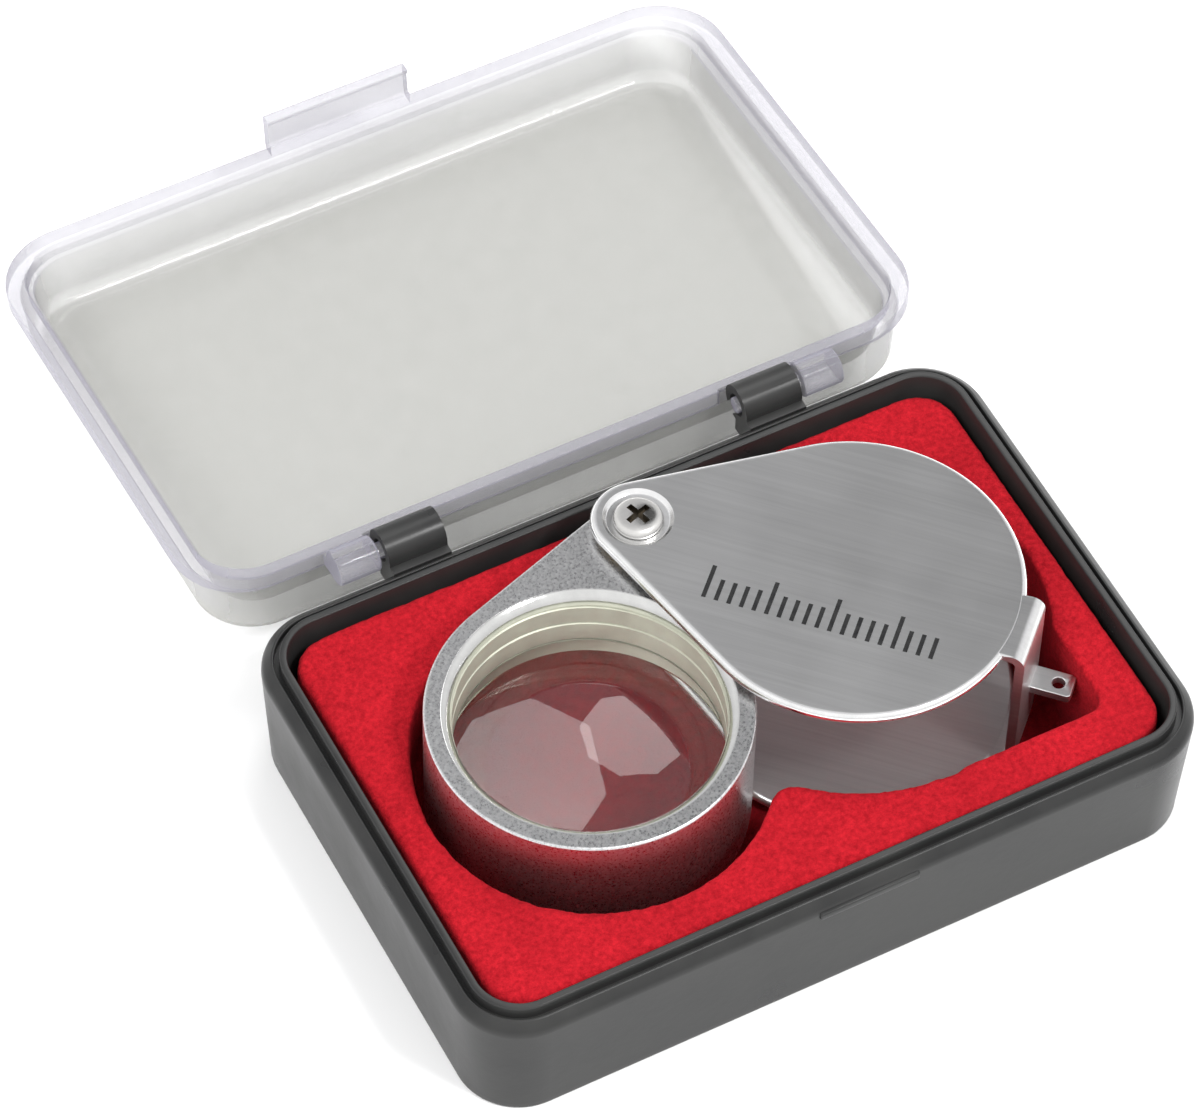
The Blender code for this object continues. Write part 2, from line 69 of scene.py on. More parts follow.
# --- Loupe -------------------------------------------------------------------
PIVOT = Vector((-0.76 * MM, 13.45 * MM, 0.0))
COVER_TURN = math.radians(-45.67)
LENS_TURN = math.radians(-129.73)
LENS_REACH = 17.4
LEAF_THICK = 0.8
LEAF_LOW = 2.8
LEAF_TOP = 17.4
LEAF_R = 13.2
LEAF_END_R = 3.7
DIMPLE_R = 3.1
SCREW_SEAT = 0.3
SCREW_HEAD = 0.78
CROSS_TURNS = (62, 152)
CROSS_REACH = 1.05
CROSS_HALF_WIDTH = 0.25
CROSS_FLOOR = 0.12
TICKS = 19
TICK_START = (7.0, -5.6)
TICK_HALF_WIDTH = 0.17
TICK_SHORT = 2.0
TICK_LONG = 3.1
HOUSING_LOW = 4.3
HOUSING_TOP = 15.9
HOUSING_R = 12.62
HOUSING_END_R = 3.3
BORE_R = 11.3
CLEAR_R = 10.45
LENS_R = 10.85
DOME_CURVE = 25.0
DOME_EDGE_Z = 10.31
GLASS_LOW_Z = 4.75


# --- Mesh helpers ------------------------------------------------------------
def link(obj):
    """Puts an object in the scene."""
    bpy.context.scene.collection.objects.link(obj)
    return obj


def finish_mesh(bm, name, angle=35.0):
    """Object from a bmesh, smooth but for edges sharper than the angle."""
    bmesh.ops.recalc_face_normals(bm, faces=bm.faces)
    mesh = bpy.data.meshes.new(name)
    bm.to_mesh(mesh)
    bm.free()
    mesh.shade_smooth()
    mesh.set_sharp_from_angle(angle=math.radians(angle))
    return link(bpy.data.objects.new(name, mesh))


def rounded_rectangle(x0, x1, y0, y1, radius, z, steps=18):
    """Level loop of points with an arc at each corner."""
    corners = [
        (x1 - radius, y1 - radius, 0.0), (x0 + radius, y1 - radius, 90.0),
        (x0 + radius, y0 + radius, 180.0), (x1 - radius, y0 + radius, 270.0),
    ]
    loop = []
    for cx, cy, start in corners:
        for step in range(steps + 1):
            turn = math.radians(start + 90.0 * step / steps)
            loop.append((cx + radius * math.cos(turn), cy + radius * math.sin(turn), z))
    return loop


def arc(cx, cy, radius, start, stop, steps=8):
    """Points on an arc between two angles in degrees."""
    turns = [math.radians(start + (stop - start) * k / steps) for k in range(steps + 1)]
    return [(cx + radius * math.cos(t), cy + radius * math.sin(t)) for t in turns]


def hull_outline(circles, steps=160):
    """Outline round a set of (x, y, radius) circles, as a string pulled tight."""
    points = []
    for step in range(steps):
        turn = 2 * math.pi * (step + 0.5) / steps
        out = Vector((math.cos(turn), math.sin(turn)))
        reach = [Vector(c[:2]).dot(out) + c[2] for c in circles]
        x, y, radius = circles[reach.index(max(reach))]
        points.append((x + radius * out.x, y + radius * out.y))
    return points


def loft(name, loops, angle=35.0):
    """Solid skinned through loops of equal length (mm) and closed flat at both ends."""
    bm = bmesh.new()
    rows = [[bm.verts.new(Vector(p) * MM) for p in loop] for loop in loops]
    count = len(rows[0])
    for low, high in zip(rows, rows[1:]):
        for k in range(count):
            after = (k + 1) % count
            bm.faces.new((low[k], low[after], high[after], high[k]))
    bm.faces.new(reversed(rows[0]))
    bm.faces.new(rows[-1])
    return finish_mesh(bm, name, angle)


def extruded(name, outline, z0, z1, edge=0.0):
    """Outline (mm) given a thickness, with its edges rounded by edge."""
    bm = bmesh.new()
    low = [bm.verts.new((x * MM, y * MM, z0 * MM)) for x, y in outline]
    high = [bm.verts.new((x * MM, y * MM, z1 * MM)) for x, y in outline]
    count = len(outline)
    bottom = bm.faces.new(reversed(low))
    top = bm.faces.new(high)
    for k in range(count):
        after = (k + 1) % count
        bm.faces.new((low[k], low[after], high[after], high[k]))
    if edge:
        rims = list(bottom.edges) + list(top.edges)
        bmesh.ops.bevel(bm, geom=rims, offset=edge * MM, segments=3, profile=0.5,
                        affect="EDGES", clamp_overlap=True)
    return finish_mesh(bm, name, 30.0)


def rounded_plate(name, circles, z0, z1, low_edge, top_edge, steps=220, parts=6):
    """Plate round a set of circles, with both of its edges turned to an arc."""
    loops = []
    for z_mid, edge, start in ((z0 + low_edge, low_edge, 0), (z1 - top_edge, top_edge, 1)):
        for k in range(parts + 1):
            turn = math.radians(90 * (k / parts - 1 + start))
            inset = edge * (1 - math.cos(turn))
            outline = hull_outline([(x, y, r - inset) for x, y, r in circles], steps)
            loops.append([(x, y, z_mid + edge * math.sin(turn)) for x, y in outline])
    return loft(name, loops, 30.0)


def turned(name, profile, steps=160, closed=False):
    """Solid of revolution about Z of a (radius, z) profile in mm; closed joins its ends."""
    bm = bmesh.new()
    turns = [2 * math.pi * k / steps for k in range(steps)]
    rings = []
    for r, z in profile:
        if r == 0:
            rings.append([bm.verts.new((0, 0, z * MM))])
        else:
            rings.append([bm.verts.new((r * MM * math.cos(t), r * MM * math.sin(t), z * MM))
                          for t in turns])
    pairs = list(zip(rings, rings[1:]))
    if closed:
        pairs.append((rings[-1], rings[0]))
    for a, b in pairs:
        for k in range(steps):
            after = (k + 1) % steps
            if len(a) == 1 and len(b) == 1:
                continue
            if len(a) == 1:
                bm.faces.new((a[0], b[after], b[k]))
            elif len(b) == 1:
                bm.faces.new((a[k], a[after], b[0]))
            else:
                bm.faces.new((a[k], a[after], b[after], b[k]))
    return finish_mesh(bm, name, 30.0)


def block(name, x0, x1, y0, y1, z0, z1, edge=0.0):
    """Box between two corners (mm), with rounded edges if edge is given."""
    bm = bmesh.new()
    bmesh.ops.create_cube(bm, size=1.0)
    bmesh.ops.scale(bm, verts=bm.verts, vec=Vector((x1 - x0, y1 - y0, z1 - z0)) * MM)
    middle = Vector((x0 + x1, y0 + y1, z0 + z1)) * MM / 2
    bmesh.ops.translate(bm, verts=bm.verts, vec=middle)
    if edge:
        bmesh.ops.bevel(bm, geom=bm.edges, offset=edge * MM, segments=3, profile=0.5,
                        affect="EDGES", clamp_overlap=True)
    return finish_mesh(bm, name)


def rod_x(name, x0, x1, radius, edge=0.0, steps=48):
    """Rod along the X axis (mm), with rounded rims if edge is given."""
    bm = bmesh.new()
    bmesh.ops.create_cone(bm, cap_ends=True, segments=steps, radius1=radius * MM,
                          radius2=radius * MM, depth=abs(x1 - x0) * MM)
    if edge:
        rims = [e for e in bm.edges if any(len(f.verts) > 4 for f in e.link_faces)]
        bmesh.ops.bevel(bm, geom=rims, offset=edge * MM, segments=3, profile=0.5,
                        affect="EDGES", clamp_overlap=True)
    along_x = Matrix.Rotation(math.pi / 2, 3, "Y")
    bmesh.ops.rotate(bm, verts=bm.verts, cent=(0, 0, 0), matrix=along_x)
    bmesh.ops.translate(bm, verts=bm.verts, vec=((x0 + x1) / 2 * MM, 0, 0))
    return finish_mesh(bm, name)


def move_mesh(obj, matrix):
    """Moves the mesh within its object."""
    obj.data.transform(matrix)
    return obj


def apply_modifiers(obj):
    """Turns what the modifiers make into the object's own mesh."""
    depsgraph = bpy.context.evaluated_depsgraph_get()
    mesh = bpy.data.meshes.new_from_object(obj.evaluated_get(depsgraph))
    obj.modifiers.clear()
    obj.data = mesh
    return obj


def combine(obj, tools, operation):
    """Boolean with a list of tool objects, applied; the tools are removed."""
    for tool in tools:
        step = obj.modifiers.new(operation, "BOOLEAN")
        step.operation = operation
        step.solver = "EXACT"
        step.object = tool
        apply_modifiers(obj)
        bpy.data.objects.remove(tool, do_unlink=True)
    return obj


def soften(obj, width, segments):
    """Small rounded edges (mm), applied."""
    edge = obj.modifiers.new("edge", "BEVEL")
    edge.width = width * MM
    edge.segments = segments
    edge.limit_method = "ANGLE"
    edge.angle_limit = math.radians(35.0)
    apply_modifiers(obj)
    return crisp(obj)


def crisp(obj):
    """Smooth shading that leaves flat faces flat and hard corners hard."""
    obj.data.shade_smooth()
    obj.data.set_sharp_from_angle(angle=math.radians(40.0))
    weigh = obj.modifiers.new("normals", "WEIGHTED_NORMAL")
    weigh.weight = 90
    weigh.keep_sharp = True
    return obj


def piece(obj, mat, body, slot, *nodes):
    """Gives an object its material and body, and the CAD nodes it stands for."""
    obj.data.materials.clear()
    obj.data.materials.append(mat)
    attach(obj, body)
    if nodes:
        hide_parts(*nodes)
    return obj


# --- Material helpers --------------------------------------------------------
class Nodes:
    """A material's node tree with short ways to add and join nodes."""

    def __init__(self, name):
        """Material of that name with a plain shader."""
        self.mat = bpy.data.materials.new(name)
        self.mat.use_nodes = True
        self.tree = self.mat.node_tree
        self.shader = self.tree.nodes["Principled BSDF"]

    def add(self, kind, **values):
        """New node; each value goes to the property or the input of that name."""
        node = self.tree.nodes.new(kind)
        for key, value in values.items():
            if hasattr(node, key):
                setattr(node, key, value)
            else:
                node.inputs[key.replace("_", " ")].default_value = value
        return node

    def join(self, source, target):
        """Link from an output socket to an input socket."""
        self.tree.links.new(source, target)

    def set(self, **values):
        """Plain values on the shader's own sockets."""
        for key, value in values.items():
            self.shader.inputs[key.replace("_", " ")].default_value = value

    def coords(self, scale=(1, 1, 1)):
        """Object coordinates in metres, times a scale."""
        place = self.add("ShaderNodeTexCoord")
        mapping = self.add("ShaderNodeMapping")
        mapping.inputs["Scale"].default_value = scale
        self.join(place.outputs["Object"], mapping.inputs["Vector"])
        return mapping.outputs["Vector"]

    def noise(self, vector, scale, detail=3.0, roughness=0.6):
        """Noise value with that many cells to the metre."""
        node = self.add("ShaderNodeTexNoise", Scale=scale, Detail=detail, Roughness=roughness)
        self.join(vector, node.inputs["Vector"])
        return node.outputs["Fac"]

    def ramp(self, value, low, high, out_low=0.0, out_high=1.0):
        """Value between low and high carried over to an output range, and held past it."""
        node = self.add("ShaderNodeMapRange")
        node.inputs["From Min"].default_value = low
        node.inputs["From Max"].default_value = high
        node.inputs["To Min"].default_value = out_low
        node.inputs["To Max"].default_value = out_high
        self.join(value, node.inputs["Value"])
        return node.outputs["Result"]

    def spread(self, noise, out_low=0.0, out_high=1.0):
        """Noise carried over to an output range from 0.3 to 0.7, where most of it lies."""
        return self.ramp(noise, 0.3, 0.7, out_low, out_high)

    def mix(self, fac, a, b):
        """Blend from a to b, each of them a colour or a socket."""
        node = self.add("ShaderNodeMix", data_type="RGBA")
        self.join(fac, node.inputs["Factor"])
        for socket, source in ((node.inputs[6], a), (node.inputs[7], b)):
            if isinstance(source, tuple):
                socket.default_value = (*source, 1.0)
            else:
                self.join(source, socket)
        return node.outputs[2]

    def times(self, a, b):
        """Product of two values."""
        node = self.add("ShaderNodeMath", operation="MULTIPLY")
        self.join(a, node.inputs[0])
        self.join(b, node.inputs[1])
        return node.outputs["Value"]

    def height(self, vector):
        """The Z part of a vector."""
        node = self.add("ShaderNodeSeparateXYZ")
        self.join(vector, node.inputs["Vector"])
        return node.outputs["Z"]

    def bump(self, height, strength, distance):
        """Relief on the shader's normal."""
        node = self.add("ShaderNodeBump", Strength=strength, Distance=distance)
        self.join(height, node.inputs["Height"])
        self.join(node.outputs["Normal"], self.shader.inputs["Normal"])


def black_plastic():
    """Moulded black plastic with a fine skin."""
    m = Nodes("black_plastic")
    vector = m.coords()
    grain = m.noise(vector, 900.0, 4.0)
    broad = m.noise(vector, 120.0)
    m.join(m.mix(m.spread(broad), (0.021, 0.0212, 0.0215), (0.035, 0.035, 0.0342)),
           m.shader.inputs["Base Color"])
    m.join(m.spread(broad, 0.26, 0.38), m.shader.inputs["Roughness"])
    m.bump(grain, 0.12, 0.0001)
    m.set(Specular_IOR_Level=0.22)
    return m.mat


def clear_plastic():
    """Clear moulding seen as thin coloured skins: lilac rim, greyer walls and plate, with shade
    painted darker where a skin turns edge-on.

    Local Z is the depth from the lid's open side, because the lid is modelled shut.
    """
    m = Nodes("clear_plastic")
    vector = m.coords()
    wave = m.noise(vector, 70.0, 2.0)
    mist = m.noise(vector, 450.0)
    depth = m.height(vector)
    facing = m.add("ShaderNodeLayerWeight", Blend=0.5).outputs["Facing"]
    # painted shade: the colour darkens as a skin turns edge-on, for the dark lines that
    # refraction draws along the lid's edges
    edge = m.ramp(facing, 0.45, 0.95)
    rim = m.mix(edge, (0.36, 0.35, 0.405), (0.22, 0.21, 0.285))
    wall = m.mix(edge, (0.35, 0.35, 0.335), (0.28, 0.275, 0.29))
    side = m.mix(m.ramp(depth, 1.5 * MM, 2.1 * MM), rim, wall)
    m.join(m.mix(m.ramp(depth, 4.6 * MM, 6.1 * MM), side, (0.335, 0.335, 0.31)),
           m.shader.inputs["Base Color"])
    skin = m.ramp(facing, 0.12, 0.95, 0.245, 0.9)
    m.join(m.times(skin, m.spread(mist, 0.98, 1.03)), m.shader.inputs["Alpha"])
    m.join(m.spread(wave, 0.04, 0.08), m.shader.inputs["Roughness"])
    m.bump(wave, 0.04, 0.0003)
    m.set(Specular_IOR_Level=0.4, IOR=1.5)
    return m.mat


def red_flock():
    """Flocked foam, with shade painted in darker down towards the floors of its wells."""
    m = Nodes("red_flock")
    vector = m.coords()
    fine = m.noise(vector, 4200.0, 5.0, 0.75)
    tufts = m.noise(vector, 2300.0, 5.0, 0.8)
    broad = m.noise(vector, 160.0, 2.0)
    colour = m.mix(m.ramp(tufts, 0.35, 0.68), (0.31, 0.007, 0.013), (0.60, 0.017, 0.028))
    # painted shade: the colour darkens towards the floors of the wells, for the shade under the
    # lens and the cover
    well = m.ramp(m.height(vector), 2.5 * MM, 10.0 * MM, 0.34, 1.0)
    # multiplies the flock colour by the painted well shade and a random tone
    shade_and_tone = m.add("ShaderNodeMix", data_type="RGBA", blend_type="MULTIPLY")
    shade_and_tone.inputs["Factor"].default_value = 1.0
    m.join(colour, shade_and_tone.inputs[6])
    m.join(m.times(well, m.spread(broad, 0.86, 1.05)), shade_and_tone.inputs[7])
    m.join(shade_and_tone.outputs[2], m.shader.inputs["Base Color"])
    m.bump(fine, 0.9, 0.0002)
    m.set(Roughness=0.95, Sheen_Weight=0.12, Sheen_Roughness=0.5, Specular_IOR_Level=0.03)
    m.set(Sheen_Tint=(1.0, 0.12, 0.15, 1.0))
    return m.mat


def brushed_steel():
    """Satin steel with long fine brush lines."""
    m = Nodes("cover_steel")
    lines = m.noise(m.coords(scale=(40.0, 2600.0, 2600.0)), 1.0, 4.0, 0.7)
    broad = m.noise(m.coords(), 90.0)
    low, high = (0.736, 0.736, 0.736), (0.856, 0.856, 0.856)
    m.join(m.mix(m.ramp(lines, 0.25, 0.75), low, high), m.shader.inputs["Base Color"])
    m.join(m.ramp(broad, 0.15, 0.85, 0.33, 0.41), m.shader.inputs["Roughness"])
    m.set(Metallic=1.0)
    m.bump(lines, 0.12, 0.00003)
    return m.mat


def satin_metal():
    """Grained metal with a fine crystal look."""
    m = Nodes("satin_metal")
    grain = m.noise(m.coords(), 4200.0, 4.0, 0.75)
    m.join(m.mix(m.spread(grain), (0.6, 0.6, 0.61), (0.95, 0.95, 0.95)),
           m.shader.inputs["Base Color"])
    m.join(m.spread(grain, 0.22, 0.42), m.shader.inputs["Roughness"])
    m.bump(grain, 0.2, 0.00005)
    m.set(Metallic=1.0)
    return m.mat


def polished(name, base, rough, bumpy=0.15, metallic=1.0):
    """Bright metal with slight wear in colour and gloss."""
    m = Nodes(name)
    wear = m.noise(m.coords(), 700.0)
    low = tuple(c * 0.9 for c in base)
    m.join(m.mix(m.spread(wear), low, base), m.shader.inputs["Base Color"])
    m.join(m.spread(wear, rough, rough * 1.7), m.shader.inputs["Roughness"])
    m.set(Metallic=metallic)
    m.bump(wear, bumpy, 0.00004)
    return m.mat


def optical_glass():
    """Lens glass that lets lamp light through to what is under it."""
    m = Nodes("optical_glass")
    dust = m.noise(m.coords(), 1500.0, 2.0)
    m.set(Base_Color=(0.95, 0.95, 0.95, 1.0), Transmission_Weight=1.0, IOR=1.52)
    m.join(m.ramp(dust, 0.72, 0.85, 0.0, 0.03), m.shader.inputs["Roughness"])
    through = m.add("ShaderNodeBsdfTransparent")
    path = m.add("ShaderNodeLightPath")
    mix = m.add("ShaderNodeMixShader")
    m.join(path.outputs["Is Shadow Ray"], mix.inputs[0])
    m.join(m.shader.outputs["BSDF"], mix.inputs[1])
    m.join(through.outputs["BSDF"], mix.inputs[2])
    m.join(mix.outputs["Shader"], m.tree.nodes["Material Output"].inputs["Surface"])
    return m.mat


def ink():
    """Printed black, worn a little thin in places."""
    m = Nodes("mark_ink")
    wear = m.noise(m.coords(), 1600.0)
    m.join(m.mix(m.spread(wear), (0.006, 0.006, 0.007), (0.02, 0.02, 0.02)),
           m.shader.inputs["Base Color"])
    m.set(Roughness=0.6, Specular_IOR_Level=0.2)
    return m.mat


BLACK = black_plastic()
CLEAR = clear_plastic()
RED = red_flock()
COVER_STEEL = brushed_steel()
EDGE_STEEL = polished("edge_steel", (0.98, 0.98, 0.98), 0.12)
SCREW_STEEL = polished("screw_bright", (0.82, 0.81, 0.79), 0.16)
# painted shade: a dark brownish metal on the screws' cross recesses stands in for the shade
# inside them
RECESS_SHADE = polished("recess_painted_shade", (0.17, 0.15, 0.12), 0.3)
BRONZE = polished("washer_metal", (0.62, 0.45, 0.22), 0.25)
SATIN = satin_metal()
BEVEL_STEEL = polished("bevel_bright", (0.78, 0.78, 0.77), 0.07)
SPACER = polished("spacer_metal", (0.66, 0.67, 0.56), 0.3, 0.03, 0.4)
GLASS = optical_glass()
INK = ink()
NO_KEY = []     # pieces that the softbox doesn't light
NO_FRONT = []   # pieces that the front lamp doesn't light


# --- Case base ---------------------------------------------------------------
def smooth_section(points, rounds):
    """Section with the corners listed in rounds {index: radius} turned to small arcs."""
    out = []
    for k, point in enumerate(points):
        if k not in rounds:
            out.append(point)
            continue
        here = Vector(point)
        before = Vector(points[k - 1]) - here
        after = Vector(points[k + 1]) - here
        reach = min(rounds[k], before.length * 0.48, after.length * 0.48)
        start = here + before.normalized() * reach
        stop = here + after.normalized() * reach
        for step in range(5):
            t = step / 4
            mid = start * (1 - t) ** 2 + here * 2 * t * (1 - t) + stop * t ** 2
            out.append(tuple(mid))
    return out


def build_base():
    """Tray with a lip groove, catch ridge and two open hinge knuckles.

    The section is (inset from the outline, z), from the underside in and over the rim.
    """
    section = [
        (1.25, 0.0), (0.52, 0.0), (0.5, 0.8), (0.03, 11.1), (0.85, 11.9), (1.02, 11.9),
        (1.05, 11.35), (1.45, 11.35), (1.5, 12.5), (2.08, 12.5), (2.3, 1.2),
    ]
    rounds = {1: 0.7, 3: 0.45, 4: 0.12, 5: 0.1, 8: 0.16, 9: 0.14}
    loops = []
    for inset, z in smooth_section(section, rounds):
        hx, hy = BASE_HALF_X - inset, BASE_HALF_Y - inset
        loops.append(rounded_rectangle(-hx, hx, -hy, hy, BASE_CORNER - inset, z))
    base = loft("case_shell", loops, 50.0)
    front = -BASE_HALF_Y
    piece(base, BLACK, "case", "black_case", "case_base")
    ridge = block("catch_ridge", -3.5, 5.0, front - 0.18, front + 0.8, 10.25, 10.95, 0.14)
    piece(ridge, BLACK, "case", "black_case", "case_base")
    for side, label in ((-1, "left"), (1, "right")):
        mid = side * KNUCKLE_X
        x0, x1 = mid - KNUCKLE_WIDTH / 2, mid + KNUCKLE_WIDTH / 2
        knuckle = move_mesh(rod_x("hinge_knuckle_" + label, x0, x1, KNUCKLE_R),
                            Matrix.Translation(HINGE))
        web = block("web", x0, x1, 20.6, HINGE.y / MM, 9.2, 11.95)
        combine(knuckle, [web], "UNION")
        bore = move_mesh(rod_x("bore", x0 - 1, x1 + 1, KNUCKLE_BORE_R), Matrix.Translation(HINGE))
        mouth = block("mouth", -4, 4, -0.55, 0.55, -3.0, 0.0)
        move_mesh(mouth, Matrix.Translation((mid * MM, HINGE.y, HINGE.z))
                  @ Matrix.Rotation(math.radians(35), 4, "X"))
        combine(knuckle, [bore, mouth], "DIFFERENCE")
        soften(knuckle, 0.22, 3)
        piece(knuckle, BLACK, "case", "black_case", "case_base")


# --- Case lid ----------------------------------------------------------------
def build_lid():
    """Built closed about the hinge axis, then laid open.

    Both skins are rows of (half length, front, rear, corner radius, depth) in mm.
    """
    outside = [
        (32.3, -21.25, 20.95, 5.9, 0.0), (32.45, -21.4, 21.1, 6.05, 0.08),
        (32.5, -21.45, 21.15, 6.1, 0.22), (32.5, -21.45, 21.15, 6.1, 1.35),
        (32.42, -21.38, 21.08, 6.0, 1.52), (32.25, -21.2, 20.9, 5.9, 1.6),
        (31.45, -21.05, 20.82, 5.4, 1.64), (31.28, -20.93, 20.73, 5.3, 1.8),
        (30.95, -20.6, 20.4, 5.1, 6.3), (30.88, -20.52, 20.32, 5.05, 6.7),
        (30.7, -20.35, 20.15, 4.9, 7.02), (30.5, -20.15, 19.95, 4.65, 7.2),
        (30.2, -19.85, 19.65, 4.4, 7.3),
    ]
    inside = [
        (27.8, -17.5, 17.3, 2.5, 6.15), (28.3, -18.0, 17.8, 2.95, 6.13),
        (28.8, -18.5, 18.3, 3.3, 5.98), (29.2, -18.9, 18.7, 3.6, 5.65),
        (29.5, -19.2, 19.0, 3.8, 5.15), (29.66, -19.36, 19.16, 3.9, 4.5),
        (30.1, -19.8, 19.6, 4.1, 1.75), (30.2, -19.9, 19.7, 4.15, 1.56),
        (30.62, -19.97, 19.97, 4.45, 1.5), (30.7, -20.0, 20.0, 4.5, 1.4),
        (30.7, -20.0, 20.0, 4.5, 0.2), (30.85, -20.15, 20.1, 4.6, 0.0),
    ]

    hinge_y = HINGE.y / MM
    loops = [
        rounded_rectangle(-half_x, half_x, front - hinge_y, rear - hinge_y, radius, depth, 14)
        for half_x, front, rear, radius, depth in outside[::-1] + inside[::-1]
    ]
    lid = loft("lid_shell", loops, 60.0)
    cuts, adds = [], []
    for side in (-1, 1):
        mid = side * KNUCKLE_X
        cuts.append(block("notch", mid - 3.0, mid + 3.0, 20.8 - hinge_y, 22.0 - hinge_y,
                          -0.5, 1.7))
        inner = side * (KNUCKLE_X + KNUCKLE_WIDTH / 2 + 0.5)
        outer = inner + side * 3.5
        low, high = min(inner, outer), max(inner, outer)
        lug = rod_x("lug", low, high, LUG_R, 0.2)
        arm = block("arm", low, high, 20.5 - hinge_y, -0.2, 0.02, LUG_R - 0.1, 0.18)
        adds += [arm, lug]
        tip = side * (KNUCKLE_X - KNUCKLE_WIDTH / 2 - 0.2)
        adds.append(rod_x("pin", min(tip, inner + side), max(tip, inner + side), PIN_R, 0.15, 32))
    low = 9.6 - HINGE.z / MM
    section = [
        (-21.2, 1.2), (-21.2, 0.02), (-21.75, 0.02), (-21.75, low + 0.7), (-21.55, low + 0.4),
        (-21.55, low + 0.05), (-22.3, low), (-22.5, low + 0.1), (-22.6, low + 0.3),
        (-22.6, 0.8), (-22.5, 1.1), (-22.3, 1.2),
    ]
    tab = extruded("tab", [(y - hinge_y, z) for y, z in section], -6.4, 6.4)
    move_mesh(tab, Matrix.Rotation(math.pi / 2, 4, "Z") @ Matrix.Rotation(math.pi / 2, 4, "X"))
    adds.append(tab)
    combine(lid, cuts, "DIFFERENCE")
    combine(lid, adds, "UNION")
    crisp(lid)
    lid.location = HINGE
    lid.rotation_euler.x = -LID_OPEN
    bpy.context.view_layer.update()
    piece(lid, CLEAR, "lid", "clear_lid", "case_lid")


# --- Foam insert -------------------------------------------------------------
def fillet_outline(first, second, radius):
    """Fan between two circles' centres and an arc that touches both from outside."""
    c1, c2 = Vector(first[:2]), Vector(second[:2])
    r1, r2 = first[2] + radius, second[2] + radius
    apart = (c2 - c1).length
    along = (apart ** 2 + r1 ** 2 - r2 ** 2) / (2 * apart)
    down = math.sqrt(r1 ** 2 - along ** 2)
    unit = (c2 - c1) / apart
    centre = c1 + along * unit + down * Vector((unit.y, -unit.x))
    start = math.degrees(math.atan2(c1.y - centre.y, c1.x - centre.x))
    stop = math.degrees(math.atan2(c2.y - centre.y, c2.x - centre.x))
    return [tuple(c1)] + arc(centre.x, centre.y, radius, start, stop, 16) + [tuple(c2)]


def build_insert():
    """Flocked foam block with the wells that the opened loupe lies in."""
    loops = []
    for inset, z in [(0.0, 1.6), (0.0, 10.9), (0.1, 11.1), (0.3, 11.2)]:
        loops.append(rounded_rectangle(-28.8 + inset, 28.8 - inset, -18.5 + inset, 18.5 - inset,
                                       3.2 - inset, z, 8))
    insert = loft("flocked_insert", loops)
    px, py = PIVOT.x / MM, PIVOT.y / MM
    ring_front, ring_rear = (-12.06, -1.17, 13.83), (-11.9, 0.1, 13.6)
    cover_well, pivot_well = (11.4, 0.9, 15.5), (px, py, 4.7)
    wells = [
        hull_outline([pivot_well, ring_front, ring_rear], 96),
        hull_outline([pivot_well, cover_well], 96),
        fillet_outline(ring_front, cover_well, 2.0),
        [(11.4, -14.5), (24.3, -14.5), (25.1, -13.7), (25.1, -5.0), (11.4, -5.0)],
    ]
    cuts = [extruded("well", outline, 2.0, 14.0) for outline in wells]
    combine(insert, cuts, "DIFFERENCE")
    remesh = insert.modifiers.new("remesh", "REMESH")
    remesh.mode = "VOXEL"
    remesh.voxel_size = 0.28 * MM
    relax = insert.modifiers.new("relax", "SMOOTH")
    relax.factor = 0.5
    relax.iterations = 14
    lumps = bpy.data.textures.new("lumps", "CLOUDS")
    lumps.noise_scale = 0.9 * MM
    lumps.noise_depth = 3
    uneven = insert.modifiers.new("uneven", "DISPLACE")
    uneven.texture = lumps
    uneven.texture_coords = "LOCAL"
    uneven.strength = 0.16 * MM
    uneven.mid_level = 0.5
    apply_modifiers(insert)
    insert.data.shade_smooth()
    piece(insert, RED, "case", "red_flock", "foam_insert")


# --- Loupe -------------------------------------------------------------------
def at_pivot(obj, turn, reach=0.0):
    """Turns an object about the loupe's pivot and puts it out along that direction (mm)."""
    obj.location = PIVOT + Vector((math.cos(turn), math.sin(turn), 0)) * reach * MM
    obj.rotation_euler.z = turn
    bpy.context.view_layer.update()
    return obj


